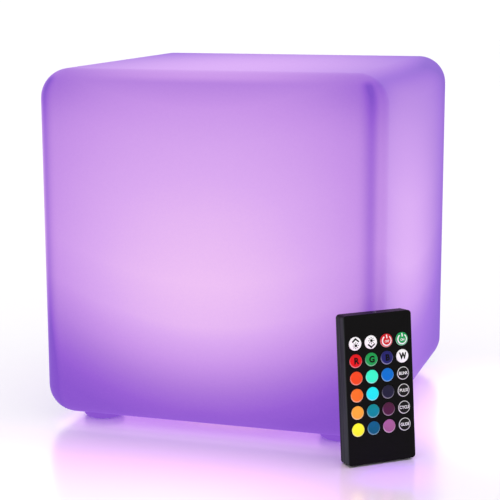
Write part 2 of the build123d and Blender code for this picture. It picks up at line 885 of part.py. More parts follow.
with BuildPart() as remote_front_cover:
    extrude(
        remote_slab(remote_parting, 0, middle, remote_width, remote_length, remote_corner),
        amount=remote_thickness - remote_parting,
    )
    fillet(
        remote_front_cover.faces().sort_by(Axis(remote_plane.origin, remote_plane.z_dir))[-1].edges(),
        radius=remote_front_round,
    )
    inner_width = remote_width - 2 * remote_wall
    inner_length = remote_length - 2 * remote_wall
    extrude(
        remote_slab(remote_parting, 0, middle, inner_width, inner_length, remote_inner_corner),
        amount=face_inside - remote_parting,
        mode=Mode.SUBTRACT,
    )
    with BuildSketch(remote_plane.offset(remote_board_top)):
        with Locations((0, middle)):
            with GridLocations(boss_spacing_x, boss_spacing_y, 2, 2):
                Circle(remote_boss_radius)
    extrude(amount=face_inside - remote_board_top)
    remote_screw_seat = remote_screw_sink + remote_screw_head_height
    remote_screw_tip = remote_screw_seat + remote_screw_length
    with BuildSketch(remote_plane.offset(remote_board_top)):
        with Locations((0, middle)):
            with GridLocations(boss_spacing_x, boss_spacing_y, 2, 2):
                Circle(remote_screw_radius + thread_clearance)
    extrude(amount=remote_screw_tip + ir_clearance - remote_board_top, mode=Mode.SUBTRACT)
    with Locations(remote_plane.offset(face_inside + remote_wall / 2)):
        with Locations(*key_hole_places):
            Cone(hole_foot, hole_mouth, remote_wall, mode=Mode.SUBTRACT)
    with BuildSketch(end_plane.offset(middle)):
        Circle(ir_radius + ir_clearance)
    extrude(amount=middle, mode=Mode.SUBTRACT)
remote_front_cover.part.label = "remote_front_cover"
export_step(remote_front_cover.part, "parts/remote_front_cover.step")

ledge_top = door_middle - door_length / 2
ledge_bottom = ledge_top - door_travel - door_clearance
with BuildPart() as remote_back_cover:
    extrude(remote_slab(0, 0, middle, remote_width, remote_length, remote_corner), amount=remote_parting)
    fillet(
        remote_back_cover.faces().sort_by(Axis(remote_plane.origin, remote_plane.z_dir))[0].edges(),
        radius=remote_back_round,
    )
    extrude(
        remote_slab(remote_wall, 0, middle, inner_width, inner_length, remote_inner_corner),
        amount=remote_parting - remote_wall,
        mode=Mode.SUBTRACT,
    )

    # Frame round the coin cell, on two side bars that leave the door's lips room to slide
    bar_x = (lip_width + 2 * door_clearance + frame_bar) / 2
    for bar_side in (-1, 1):
        extrude(
            remote_slab(remote_wall, bar_side * bar_x, coin_from_bottom, frame_bar, frame_length),
            amount=frame_bottom - remote_wall,
        )
    extrude(
        remote_slab(frame_bottom, 0, coin_from_bottom, frame_width, frame_length),
        amount=frame_top - frame_bottom,
    )
    with BuildSketch(remote_plane.offset(frame_bottom)):
        with Locations((0, coin_from_bottom)):
            Circle(coin_radius + coin_clearance)
    extrude(amount=frame_top - frame_bottom, mode=Mode.SUBTRACT)

    # Sunk ledge below the door, which the door slides down over
    ledge_middle = (ledge_top + ledge_bottom) / 2
    ledge_length = ledge_top - ledge_bottom
    extrude(
        remote_slab(remote_wall, 0, ledge_middle, slot_width + 2 * frame_bar, ledge_length),
        amount=2 * door_slot_clearance + ledge_thickness,
    )
    extrude(
        remote_slab(0, 0, ledge_middle, slot_width, ledge_length),
        amount=lip_bottom + door_slot_clearance,
        mode=Mode.SUBTRACT,
    )

    # Opening behind the door
    extrude(
        remote_slab(0, 0, door_middle + door_clearance / 2, slot_width, door_length + door_clearance),
        amount=remote_wall,
        mode=Mode.SUBTRACT,
    )

    # Bosses under the board, with the screw heads sunk in from the back
    with BuildSketch(remote_plane.offset(remote_wall)):
        with Locations((0, middle)):
            with GridLocations(boss_spacing_x, boss_spacing_y, 2, 2):
                Circle(remote_boss_radius)
    extrude(amount=remote_board_height - remote_wall)
    with BuildSketch(remote_plane):
        with Locations((0, middle)):
            with GridLocations(boss_spacing_x, boss_spacing_y, 2, 2):
                Circle(remote_screw_radius + ir_clearance)
    extrude(amount=remote_board_height, mode=Mode.SUBTRACT)
    with BuildSketch(remote_plane):
        with Locations((0, middle)):
            with GridLocations(boss_spacing_x, boss_spacing_y, 2, 2):
                Circle(remote_screw_head + ir_clearance)
    extrude(amount=remote_screw_seat, mode=Mode.SUBTRACT)
    with BuildSketch(end_plane.offset(middle)):
        Circle(ir_radius + ir_clearance)
    extrude(amount=middle, mode=Mode.SUBTRACT)
remote_back_cover.part.label = "remote_back_cover"
export_step(remote_back_cover.part, "parts/remote_back_cover.step")

remote_screw = screw(
    remote_screw_radius, remote_screw_head, remote_screw_head_height, remote_screw_length
)
with BuildPart() as remote_screws:
    with Locations(remote_plane.offset(remote_screw_seat)):
        with Locations((0, middle)):
            with GridLocations(boss_spacing_x, boss_spacing_y, 2, 2):
                add(remote_screw, rotation=(180, 0, 0))
remote_screws.part.label = "remote_screws"
export_step(remote_screws.part, "parts/remote_screws.step")

# ---------------------------------------------------------------------------
# Remote: keys
# ---------------------------------------------------------------------------

key_names = [
    "key_brightness_up", "key_brightness_down", "key_off", "key_on",
    "key_red", "key_green", "key_blue", "key_white",
    "key_vermilion", "key_mint", "key_azure", "key_blink",
    "key_orange", "key_cyan", "key_indigo", "key_pulse",
    "key_amber", "key_teal", "key_plum", "key_cycle",
    "key_yellow", "key_petrol", "key_orchid", "key_glide",
]

# A key is turned from one half section: a side that narrows upwards, so that its hole keeps it
# in, and a crowned top
crown_radius = (key_radius**2 + key_crown**2) / (2 * key_crown)
crown_middle = key_edge + key_crown - crown_radius
crown_half = key_radius / 2
crown_half_height = crown_middle + sqrt(crown_radius**2 - crown_half**2)
for (row, column, x, y), key_name in zip(key_places(), key_names):
    section = upright(x, y)
    with BuildPart() as key:
        with BuildSketch(section):
            with BuildLine():
                Polyline(
                    (0, key_edge + key_crown),
                    (0, key_bottom),
                    (key_foot_radius, key_bottom),
                    (key_radius, key_edge),
                )
                ThreePointArc(
                    (key_radius, key_edge),
                    (crown_half, crown_half_height),
                    (0, key_edge + key_crown),
                )
            make_face()
        revolve(axis=Axis(section.origin, section.y_dir))
    key.part.label = key_name
    export_step(key.part, f"parts/{key_name}.step")

# ---------------------------------------------------------------------------
# Remote: inside
# ---------------------------------------------------------------------------

mat_width = remote_width - 2 * remote_wall - 2 * mat_clearance
mat_length = keypad_height + 2 * (key_radius + mat_margin)
with BuildPart() as remote_keymat:
    extrude(
        remote_slab(mat_bottom, 0, keypad_middle, mat_width, mat_length, mat_corner),
        amount=mat_thickness,
    )
    with BuildSketch(remote_plane.offset(mat_top)):
        with Locations(*key_hole_places):
            Circle(bump_radius)
    extrude(amount=bump_top - mat_top)
remote_keymat.part.label = "remote_keymat"
export_step(remote_keymat.part, "parts/remote_keymat.step")

with BuildPart() as remote_contact_domes:
    with BuildSketch(remote_plane.offset(remote_board_top)):
        with Locations(*key_hole_places):
            Circle(snap_radius)
    extrude(amount=snap_height - snap_edge)
    with BuildSketch(remote_plane.offset(remote_board_top + snap_height - snap_edge)):
        with Locations(*key_hole_places):
            Circle(snap_radius - 2 * snap_edge)
    extrude(amount=snap_edge)
remote_contact_domes.part.label = "remote_contact_domes"
export_step(remote_contact_domes.part, "parts/remote_contact_domes.step")

with BuildPart() as remote_board:
    extrude(
        remote_slab(remote_board_height, 0, middle, board_width, board_length),
        amount=remote_board_thickness,
    )
    with BuildSketch(remote_plane.offset(remote_board_height)):
        with Locations((0, middle)):
            with GridLocations(boss_spacing_x, boss_spacing_y, 2, 2):
                Circle(remote_screw_radius + ir_clearance)
    extrude(amount=remote_board_thickness, mode=Mode.SUBTRACT)
    notch_middle = (notch_start + remote_length) / 2
    extrude(
        remote_slab(remote_board_height, 0, notch_middle, notch_width, remote_length - notch_start),
        amount=remote_board_thickness,
        mode=Mode.SUBTRACT,
    )
remote_board.part.label = "remote_board"
export_step(remote_board.part, "parts/remote_board.step")

with BuildPart() as remote_chip:
    chip_y = remote_length - remote_chip_margin
    extrude(
        remote_slab(remote_board_height, 0, chip_y, remote_chip_size, remote_chip_size),
        amount=-remote_chip_height,
    )
remote_chip.part.label = "remote_chip"
export_step(remote_chip.part, "parts/remote_chip.step")

with BuildPart() as remote_ir_emitter:
    with BuildSketch(end_plane.offset(ir_foot)):
        Circle(ir_radius)
    extrude(amount=ir_length)
    fillet(
        remote_ir_emitter.edges().sort_by(Axis(end_plane.origin, end_plane.z_dir))[-1],
        radius=ir_radius - ir_clearance,
    )
    with BuildSketch(end_plane.offset(ir_foot)):
        Circle(ir_collar_radius)
    extrude(amount=ir_collar_length)
    leg_y = ir_foot - (ir_clearance + ir_leg_overlap) / 2
    for leg_side in (-1, 1):
        leg_x = leg_side * ir_leg_pitch / 2
        leg_length = ir_leg_overlap + ir_clearance
        extrude(remote_slab(remote_board_top, leg_x, leg_y, ir_leg_size, leg_length), amount=ir_leg_size)
remote_ir_emitter.part.label = "remote_ir_emitter"
export_step(remote_ir_emitter.part, "parts/remote_ir_emitter.step")

with BuildPart() as remote_coin_cell:
    with BuildSketch(remote_plane.offset(coin_bottom)):
        with Locations((0, coin_from_bottom)):
            Circle(coin_radius)
    extrude(amount=coin_thickness)
    fillet(remote_coin_cell.edges(), radius=coin_clearance)
remote_coin_cell.part.label = "remote_coin_cell"
export_step(remote_coin_cell.part, "parts/remote_coin_cell.step")

# A strip between the cell and the board, and a leaf that touches the cell's upper side
coin_top = coin_bottom + coin_thickness
strip_length = 2 * (coin_radius - coin_contact_inset)
leaf_y = coin_from_bottom + coin_radius + coin_clearance / 2
leaf_start = coin_bottom + coin_leaf_lift
with BuildPart() as remote_cell_contacts:
    extrude(
        remote_slab(coin_top, 0, coin_from_bottom, coin_contact_width, strip_length),
        amount=remote_board_height - coin_top,
    )
    extrude(
        remote_slab(leaf_start, 0, leaf_y, coin_leaf_width, coin_leaf_thickness),
        amount=remote_board_height - leaf_start,
    )
remote_cell_contacts.part.label = "remote_cell_contacts"
export_step(remote_cell_contacts.part, "parts/remote_cell_contacts.step")

# The door: an outer plate flush with the back, and lips behind the edges of the opening
with BuildPart() as remote_battery_door:
    extrude(remote_slab(0, 0, door_middle, door_width, door_length), amount=lip_bottom)
    lip_start = ledge_top + door_travel + door_clearance
    lip_length = door_middle + door_length / 2 - lip_start
    extrude(
        remote_slab(lip_bottom, 0, lip_start + lip_length / 2, lip_width, lip_length),
        amount=door_lip_thickness,
    )
    for grip in range(door_grip_count):
        grip_y = ledge_top + (grip + 1) * door_grip_pitch
        extrude(
            remote_slab(0, 0, grip_y, door_width / 2, door_grip_width),
            amount=door_grip_depth,
            mode=Mode.SUBTRACT,
        )
remote_battery_door.part.label = "remote_battery_door"
export_step(remote_battery_door.part, "parts/remote_battery_door.step")
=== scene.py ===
# %% [markdown]
# # A glowing cube light and its key remote
# This lesson dresses a finished engineering model in Blender. The model already has the right size
# and shape, so the work here is light, colour and surface: a milky plastic cube that is lit from
# inside, and a small black remote with coloured keys that leans on the cube's near edge.

# %% The engineering model is the frame for everything
import math

import bpy
from mathutils import Matrix, Vector


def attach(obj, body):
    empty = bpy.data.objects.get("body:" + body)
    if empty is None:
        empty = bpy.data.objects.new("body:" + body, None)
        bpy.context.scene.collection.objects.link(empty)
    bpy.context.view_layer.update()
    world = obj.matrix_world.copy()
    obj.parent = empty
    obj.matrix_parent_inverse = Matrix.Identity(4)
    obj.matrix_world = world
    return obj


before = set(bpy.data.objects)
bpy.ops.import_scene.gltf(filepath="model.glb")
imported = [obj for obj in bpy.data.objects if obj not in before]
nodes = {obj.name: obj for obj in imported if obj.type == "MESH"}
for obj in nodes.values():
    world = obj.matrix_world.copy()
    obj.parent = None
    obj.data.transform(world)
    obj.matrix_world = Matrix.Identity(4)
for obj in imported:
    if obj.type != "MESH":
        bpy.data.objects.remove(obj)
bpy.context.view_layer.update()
MM = 0.001

# %% [markdown]
# ## Camera
# The picture was taken from a little above the cube and to its right, with a long lens, so the
# cube's edges stay nearly parallel. This lens and place put the cube's edges where the photograph
# has them, in a square frame. Blender's camera looks along its own -Z, so its turn is built from
# three directions: right, up and back.

# %% Camera
FRAME_PIXELS = 500
FOCAL_PIXELS = 1439.4
SENSOR_WIDTH = 36.0
CAMERA_YAW, CAMERA_PITCH, CAMERA_ROLL = (math.radians(a) for a in (-17.6, 10.79, 0.18))
CAMERA_PLACE = (0.25915, -0.82896, 0.25535)
CLIP_NEAR, CLIP_FAR = 0.01, 60.0


def camera_turn(yaw, pitch, roll):
    """The camera's turn, from where it looks and how it is tilted."""
    ahead = math.cos(pitch)
    forward = Vector((math.sin(yaw) * ahead, math.cos(yaw) * ahead, -math.sin(pitch)))
    level = Vector((math.cos(yaw), -math.sin(yaw), 0.0))
    down = forward.cross(level)
    right = level * math.cos(roll) + down * math.sin(roll)
    lower = down * math.cos(roll) - level * math.sin(roll)
    return Matrix((right, -lower, -forward)).transposed().to_euler()


bpy.ops.object.select_all(action="DESELECT")
bpy.ops.object.camera_add(
    location=CAMERA_PLACE, rotation=camera_turn(CAMERA_YAW, CAMERA_PITCH, CAMERA_ROLL)
)
camera = bpy.context.object
camera.name = "camera"
camera.data.sensor_width = SENSOR_WIDTH
camera.data.lens = FOCAL_PIXELS / FRAME_PIXELS * SENSOR_WIDTH
camera.data.clip_start, camera.data.clip_end = CLIP_NEAR, CLIP_FAR
bpy.context.scene.camera = camera
print("lens:", round(camera.data.lens, 2), "mm")

# %% [markdown]
# ## Colours and nodes
# Screen colours are written as hex values in sRGB. Shaders work in linear light, so one function
# turns them over, and the view is set to Standard, which shows a colour as it was chosen. Another
# function adds any node: values fill its inputs in order, a capitalised name fills the input of
# that name, and a small name is one of the node's own settings.

# %% Helpers for colours and nodes
bpy.context.scene.view_settings.view_transform = "Standard"


def linear(colour):
    """An sRGB hex colour as linear red, green, blue and 1."""
    parts = [int(colour[i:i + 2], 16) / 255 for i in (1, 3, 5)]
    turned = [p / 12.92 if p <= 0.04045 else ((p + 0.055) / 1.055) ** 2.4 for p in parts]
    return (*turned, 1.0)


def usable(sockets, key=0):
    """The socket of that name, or in that place, among those that are switched on."""
    shown = [socket for socket in sockets if socket.enabled]
    return shown[key] if isinstance(key, int) else next(s for s in shown if s.name == key)


def feed(node, inputs):
    """Give a node's inputs a value, a hex colour, an output, or another node's first output."""
    for key, value in inputs.items():
        socket = usable(node.inputs, key)
        if isinstance(value, bpy.types.Node):
            value = usable(value.outputs)
        if isinstance(value, bpy.types.NodeSocket):
            node.id_data.links.new(value, socket)
        else:
            socket.default_value = linear(value) if isinstance(value, str) else value


def add_node(material, kind, *values, stops=(), **options):
    """Add a node with its settings, its inputs and, on a colour ramp, its stops."""
    node = material.node_tree.nodes.new("ShaderNode" + kind)
    inputs = dict(enumerate(values))
    for name, value in options.items():
        if name[0].isupper():
            inputs[name.replace("_", " ")] = value
        else:
            setattr(node, name, value)
    feed(node, inputs)
    if stops:
        ramp = node.color_ramp.elements
        ramp.remove(ramp[1])
        ramp[0].position, ramp[0].color = stops[0][0], linear(stops[0][1])
        for position, colour in stops[1:]:
            ramp.new(position).color = linear(colour)
    return node


def new_material(name):
    """A node material, its Principled shader and its object coordinates."""
    material = bpy.data.materials.new(name)
    material.use_nodes = True
    place = add_node(material, "TexCoord").outputs["Object"]
    return material, material.node_tree.nodes["Principled BSDF"], place


def dress(material, *names):
    """Put one finish on some of the model's nodes."""
    for name in names:
        nodes[name].material_slots[0].material = material


# %% [markdown]
# ## Floor and studio light
# The product stands on a pale sweep in an even white studio. The floor is one large sheet, plain
# and slightly glossy, so that the cube's glow lands on it. Its back is see-through, which lets a
# camera below the floor look up at the underside. A white sky lights everything evenly.

# %% Floor and sky
FLOOR_SIZE = 12.0
bpy.ops.mesh.primitive_plane_add(size=FLOOR_SIZE)
floor = bpy.context.object
floor.name = "floor"

floor_paint, floor_shader, _ = new_material("satin_floor_paint")
feed(floor_shader, {
    "Base Color": "#F7F5F8", "Roughness": 0.25, "IOR": 1.8,
    "Coat Weight": 1.0, "Coat Roughness": 0.2, "Coat IOR": 1.9,
})
floor_side = add_node(floor_paint, "NewGeometry").outputs["Backfacing"]
floor_back = add_node(floor_paint, "BsdfTransparent")
floor_faces = add_node(floor_paint, "MixShader", floor_side, floor_shader, floor_back)
feed(floor_paint.node_tree.nodes["Material Output"], {"Surface": floor_faces})
floor.data.materials.append(floor_paint)

studio = bpy.data.worlds.new("studio")
bpy.context.scene.world = studio
studio.use_nodes = True
feed(studio.node_tree.nodes["Background"], {"Color": "#FFFFFF", "Strength": 1.06})

# %% [markdown]
# The wall's glow in the next part is emission, and it lights the floor by itself. The real light
# is stronger than a picture can show, so lamps with the glow's colour add what is missing on the
# floor: in front, to the right, under the cube and, in violet, at the remote's foot. They are
# large and near the floor, which keeps their edges soft, and those outside the cube shine in a
# narrow spread, so that their light falls on the floor and not on the walls.

# %% Lamps that carry the glow to the floor
def soft_lamp(name, colour, place, target, size, watts, spread=180):
    """A square area lamp that looks at a place. The camera doesn't see it."""
    direction = Vector(target) - Vector(place)
    bpy.ops.object.light_add(
        type="AREA", location=place, rotation=direction.to_track_quat("-Z", "Y").to_euler()
    )
    lamp = bpy.context.object
    lamp.name = name
    lamp.data.size = size
    lamp.data.energy = watts
    lamp.data.color = linear(colour)[:3]
    lamp.data.spread = math.radians(spread)
    lamp.visible_camera = False


soft_lamp(
    "front_glow", "#FF9EEA", place=(-0.01, -0.25, 0.14), target=(-0.01, -0.27, 0.0), size=0.22,
    watts=0.29, spread=80,
)
soft_lamp(
    "right_glow", "#FFCCF0", place=(0.15, 0.0, 0.08), target=(0.16, 0.0, 0.0), size=0.14,
    watts=0.13, spread=100,
)
soft_lamp(
    "under_glow", "#FFC2F2", place=(0.0, 0.0, 0.004), target=(0.0, 0.0, 0.0), size=0.19,
    watts=0.038,
)
soft_lamp(
    "foot_glow", "#A020FF", place=(0.116, -0.125, 0.03), target=(0.116, -0.125, 0.0), size=0.04,
    watts=0.0055, spread=70,
)
print("floor, sky and lamps are ready")

# %% [markdown]
# ## The glowing shell: how bright each place is
# The shell is polyethylene, moulded about 3 mm thick: milky, a little waxy and matt. The lamp
# sits low in the middle, so each wall is brightest in its lower middle. The glow fades upwards
# slowly, and downwards fast, where the base unit stands in the way. On the rounded edges the light
# has to pass through more plastic, so they are darker.
#
# Tracing light through a milky wall needs thousands of samples. Here the brightness is worked out
# from the place on the shell and given to the shader as emission. It looks the same from every
# side and has no noise.

# %% Shell: place on the cube, as shares of its side
SHELL_SIDE, SHELL_ROUND, FOOT_HEIGHT = 200 * MM, 17 * MM, 4.8 * MM
MIDDLE_LINE_SQUARED = 0.25
shell, shell_shader, shell_place = new_material("rotomoulded_polyethylene")
in_sides = add_node(shell, "VectorMath", shell_place, Scale=1 / SHELL_SIDE, operation="SCALE")
split = add_node(shell, "SeparateXYZ", in_sides)
side_x, side_y = split.outputs[0], split.outputs[1]
above_feet = add_node(
    shell, "Math", split.outputs[2], FOOT_HEIGHT / SHELL_SIDE, operation="SUBTRACT"
)
x_squared = add_node(shell, "Math", side_x, side_x, operation="MULTIPLY")
from_axis = add_node(shell, "Math", side_y, side_y, x_squared, operation="MULTIPLY_ADD")

# On an upright wall this is the squared distance from the wall's middle line
along = add_node(
    shell, "Math", from_axis, MIDDLE_LINE_SQUARED, operation="SUBTRACT", use_clamp=True
)

# %% Shell: glow of the upright walls, by height and distance from the middle line
BAND_BEND, WALL_FADE, CORNER_START, CORNER_FADE = -0.6, -1.8, 0.8, -2.4
lowered = add_node(shell, "Math", along, BAND_BEND, above_feet, operation="MULTIPLY_ADD")
glow_by_height = add_node(shell, "ValToRGB", lowered, stops=[
    (0.0, "#505050"), (0.05, "#6E6E6E"), (0.10, "#959595"), (0.20, "#D4D4D4"), (0.30, "#F7F7F7"),
    (0.42, "#FFFFFF"), (0.60, "#F5F5F5"), (0.80, "#E2E2E2"), (0.90, "#D2D2D2"), (0.97, "#B2B2B2"),
])
fade = add_node(shell, "Math", along, WALL_FADE, 1.0, operation="MULTIPLY_ADD")

# The upper corners are the farthest from the lamp, so they get darker still
near_top = add_node(shell, "MapRange", above_feet, CORNER_START, 1.0)
near_top_squared = add_node(shell, "Math", near_top, near_top, operation="MULTIPLY")
corner = add_node(shell, "Math", along, near_top_squared, operation="MULTIPLY")
corner_fade = add_node(shell, "Math", corner, CORNER_FADE, fade, operation="MULTIPLY_ADD")

# %% Shell: how far each place is round the edges
ROUND_SHARE = SHELL_ROUND / SHELL_SIDE
FLAT_SHARE = 0.5 - ROUND_SHARE
SIDE_FROM, SIDE_TO, LEAST_TURN = 0.3, 0.9, 0.001


def past_flat(position):
    """How far a place is round a rounded edge: 0 on the flat wall, 1 on the next one."""
    size = add_node(shell, "Math", position, operation="ABSOLUTE")
    beyond = add_node(shell, "Math", size, FLAT_SHARE, operation="SUBTRACT")
    return add_node(shell, "Math", beyond, ROUND_SHARE, operation="DIVIDE", use_clamp=True)


round_x, round_y = past_flat(side_x), past_flat(side_y)
edge_share = add_node(shell, "Math", round_x, round_y, operation="MULTIPLY")
round_x_squared = add_node(shell, "Math", round_x, round_x, operation="MULTIPLY")
round_squared = add_node(
    shell, "Math", round_y, round_y, round_x_squared, operation="MULTIPLY_ADD"
)
turned = add_node(shell, "Math", round_squared, LEAST_TURN, operation="MAXIMUM")
towards_side = add_node(shell, "Math", round_x_squared, turned, operation="DIVIDE")
on_side_wall = add_node(
    shell, "MapRange", towards_side, SIDE_FROM, SIDE_TO, interpolation_type="SMOOTHSTEP"
)

# %% Shell: dark lines along the edges
EDGE_DIP, UPPER_DIP, LINE_SHARPNESS, LINE_END = -0.36, -0.12, 4.0, 0.75


def dark_line(share):
    """1 in the middle of a rounded edge, where the share is a half, and quickly 0 beside it."""
    double = add_node(shell, "Math", share, 2.0, operation="MULTIPLY")
    return add_node(shell, "Math", double, LINE_SHARPNESS, operation="POWER")


# The line along an upright edge goes on over the upper corner, and fades on its side half
edge_middle = add_node(shell, "Math", edge_share, turned, operation="DIVIDE")
front_half = add_node(
    shell, "MapRange", towards_side, SIDE_FROM, LINE_END, 1.0, 0.0,
    interpolation_type="SMOOTHSTEP",
)
edge_dark = add_node(shell, "Math", dark_line(edge_middle), front_half, operation="MULTIPLY")

# %% Shell: side walls and top
SIDE_DROP, SIDE_SLOPE, SIDE_BEND = -0.25, -0.66, -0.45
TOP_GLOW, TOP_FADE, TOP_SIDE_FADE, TOP_BACK_FADE = 0.61, -0.6, -1.2, -0.35
TOP_FROM, TOP_TO = 0.6, 0.85

# The side walls have a narrower bright band, and they get darker towards the back
side_by_height = add_node(shell, "ValToRGB", lowered, stops=[
    (0.0, "#404040"), (0.05, "#545454"), (0.10, "#707070"), (0.20, "#9D9D9D"), (0.30, "#DFDFDF"),
    (0.42, "#FDFDFD"), (0.60, "#F5F5F5"), (0.80, "#D3D3D3"), (0.90, "#B8B8B8"), (0.97, "#949494"),
])
wall_glow = add_node(
    shell, "Mix", on_side_wall, glow_by_height, side_by_height, data_type="RGBA"
)
bent = add_node(shell, "Math", side_y, SIDE_BEND, SIDE_SLOPE, operation="MULTIPLY_ADD")
side_change = add_node(shell, "Math", side_y, bent, SIDE_DROP, operation="MULTIPLY_ADD")
side_share = add_node(
    shell, "Math", on_side_wall, side_change, corner_fade, operation="MULTIPLY_ADD"
)
shared_glow = add_node(shell, "Math", wall_glow, side_share, operation="MULTIPLY")
upright_glow = add_node(
    shell, "Math", edge_dark, EDGE_DIP, shared_glow, operation="MULTIPLY_ADD", use_clamp=True
)

# The top is weaker, fades to its sides and back, and its left and right edges have a faint line
round_top = add_node(shell, "Math", from_axis, TOP_FADE, TOP_GLOW, operation="MULTIPLY_ADD")
wide_top = add_node(shell, "Math", x_squared, TOP_SIDE_FADE, round_top, operation="MULTIPLY_ADD")
top_glow = add_node(shell, "Math", side_y, TOP_BACK_FADE, wide_top, operation="MULTIPLY_ADD")
above_middle = add_node(shell, "Math", above_feet, 0.5, operation="SUBTRACT")
round_up = past_flat(add_node(shell, "Math", above_middle, 0.0, operation="MAXIMUM"))
top_share = add_node(
    shell, "MapRange", round_up, TOP_FROM, TOP_TO, interpolation_type="SMOOTHSTEP"
)
whole_glow = add_node(shell, "Mix", top_share, upright_glow, top_glow, data_type="FLOAT")
upper_edge = add_node(shell, "Math", round_x, round_up, operation="MULTIPLY")
shell_glow = add_node(
    shell, "Math", dark_line(upper_edge), UPPER_DIP, whole_glow, operation="MULTIPLY_ADD"
)

# %% [markdown]
# ## The glowing shell: colour and grain
# Where the glow is weak the plastic shows a deep violet, and where it is strong a pale pink, as
# the camera's red and blue reach their limit first. A ramp turns brightness into those colours.
# The moulding has a fine grain, drawn 1.2 mm across so that it still shows in the picture.

# %% Shell: from brightness to colour
GRAIN_SIZE, GRAIN_STRENGTH = 1.2 * MM, 0.06
shell_grain = add_node(
    shell, "TexNoise", Vector=shell_place, Scale=1 / GRAIN_SIZE, Detail=3.0, Roughness=0.6
)
grain_free = add_node(shell, "Math", shell_glow, GRAIN_STRENGTH / 2, operation="SUBTRACT")
grained = add_node(
    shell, "Math", shell_grain, GRAIN_STRENGTH, grain_free, operation="MULTIPLY_ADD",
    use_clamp=True,
)
glow_colour = add_node(shell, "ValToRGB", grained, stops=[
    (0.0, "#7445BA"), (0.16, "#8C58C6"), (0.39, "#A676CE"), (0.63, "#C090DB"), (0.82, "#D2A5E3"),
    (1.0, "#E6BDE7"),
])
shell_relief = add_node(shell, "Bump", Height=shell_grain, Strength=0.12, Distance=0.1 * MM)
# The dark violet base colour is painted light as well: it carries part of the glow's violet, where
# the milky plastic itself is pale
feed(shell_shader, {
    "Base Color": "#3E2458", "Roughness": 0.5, "IOR": 1.51, "Specular IOR Level": 0.12,
    "Emission Color": glow_colour, "Emission Strength": 1.0, "Normal": shell_relief,
})
dress(shell, "cube_shell")
print("shell nodes:", len(shell.node_tree.nodes))

# %% [markdown]
# ## Plastics and rubbers
# Most of the other pieces are moulded. A moulded plastic is never one flat colour: the mould
# leaves a fine spark-eroded texture, and the pigment drifts a little as the plastic flows. One
# recipe gives that to any plastic or rubber, from its colour, its darker shade, the grain's size
# in millimetres, and how rough and glossy it is.

# %% Moulded finishes
DRIFT_SIZE, DRIFT_SHARE, POLISH_RANGE = 14 * MM, 0.65, 0.12


def moulded(name, colour, shade, grain_mm, roughness, gloss):
    """A moulded plastic or rubber with drifting pigment and a fine grain."""
    material, shader, place = new_material(name)
    drift = add_node(material, "TexNoise", Vector=place, Scale=1 / DRIFT_SIZE, Detail=2.0)
    speckle = add_node(material, "TexNoise", Vector=place, Scale=1 / (grain_mm * MM), Detail=2.0)
    slow = add_node(material, "Math", drift, DRIFT_SHARE, operation="MULTIPLY")
    mixed = add_node(material, "Math", speckle, 1 - DRIFT_SHARE, slow, operation="MULTIPLY_ADD")
    tint = add_node(material, "ValToRGB", mixed, stops=[(0.35, shade), (0.6, colour)])
    relief = add_node(material, "Bump", Height=speckle, Strength=0.15, Distance=0.05 * MM)
    polish = add_node(
        material, "Math", speckle, POLISH_RANGE, roughness - POLISH_RANGE / 2,
        operation="MULTIPLY_ADD",
    )
    feed(shader, {
        "Base Color": tint, "Roughness": polish, "Specular IOR Level": gloss, "Normal": relief,
    })
    return material, shader


white_abs, _ = moulded(
    "moulded_white_abs", "#EDEAF0", "#E7E4EB", grain_mm=0.5, roughness=0.45, gloss=0.4
)
seal_silicone, _ = moulded(
    "moulded_seal_silicone", "#D9D5DC", "#CBC6D0", grain_mm=0.8, roughness=0.62, gloss=0.3
)
grey_silicone, _ = moulded(
    "moulded_grey_silicone", "#4A4750", "#3D3A43", grain_mm=0.35, roughness=0.55, gloss=0.35
)
mat_silicone, _ = moulded(
    "moulded_keymat_silicone", "#C9C7CC", "#B9B6BE", grain_mm=0.8, roughness=0.6, gloss=0.3
)
chip_epoxy, _ = moulded(
    "moulded_black_epoxy", "#1B1B1E", "#121214", grain_mm=0.15, roughness=0.5, gloss=0.3
)

# The dome over the emitters and the emitters themselves are lit too
opal_dome, opal_shader = moulded(
    "moulded_opal_polycarbonate", "#EFE6F6", "#E6D8F0", grain_mm=0.6, roughness=0.4, gloss=0.4
)
feed(opal_shader, {"Emission Color": "#E6BDEE", "Emission Strength": 0.7})
phosphor, phosphor_shader = moulded(
    "cast_phosphor_silicone", "#F2E3B8", "#E9D27E", grain_mm=0.4, roughness=0.35, gloss=0.5
)
feed(phosphor_shader, {"Emission Color": "#F0C6FF", "Emission Strength": 0.6})

# %% Moulded pieces, dressed
dress(white_abs, "base_housing", "battery_strap", "board_link")
dress(seal_silicone, "base_gasket", "dome_seal")
dress(grey_silicone, "power_button", "port_cover")
dress(mat_silicone, "remote_keymat")
dress(chip_epoxy, "board_chips", "remote_chip", "ir_receiver", "power_switch")
dress(opal_dome, "diffuser_dome")
dress(phosphor, "led_emitters", "status_led")

# %% [markdown]
# ## Metals
# The screws are zinc-plated steel, rolled and tumbled: a soft grey shine with small dull spots.
# The socket and the coin cell are stainless steel, and the contacts are nickel-plated strip. A
# metal reflects in its own colour, so its metallic value is 1 and its index of refraction is left
# alone.

# %% Plated and drawn metals
SHINE_RANGE = 0.2


def metal(name, colour, dull, roughness, spots_mm, stretch=(1.0, 1.0, 1.0)):
    """A metal with duller spots, or with drawn lines where the spots are stretched."""
    material, shader, place = new_material(name)
    laid = add_node(material, "Mapping", place, Scale=stretch)
    spots = add_node(material, "TexNoise", Vector=laid, Scale=1 / (spots_mm * MM), Detail=4.0)
    tint = add_node(material, "ValToRGB", spots, stops=[(0.35, dull), (0.6, colour)])
    shine = add_node(
        material, "Math", spots, -SHINE_RANGE, roughness + SHINE_RANGE / 2,
        operation="MULTIPLY_ADD",
    )
    feed(shader, {"Base Color": tint, "Roughness": shine, "Metallic": 1.0})
    return material


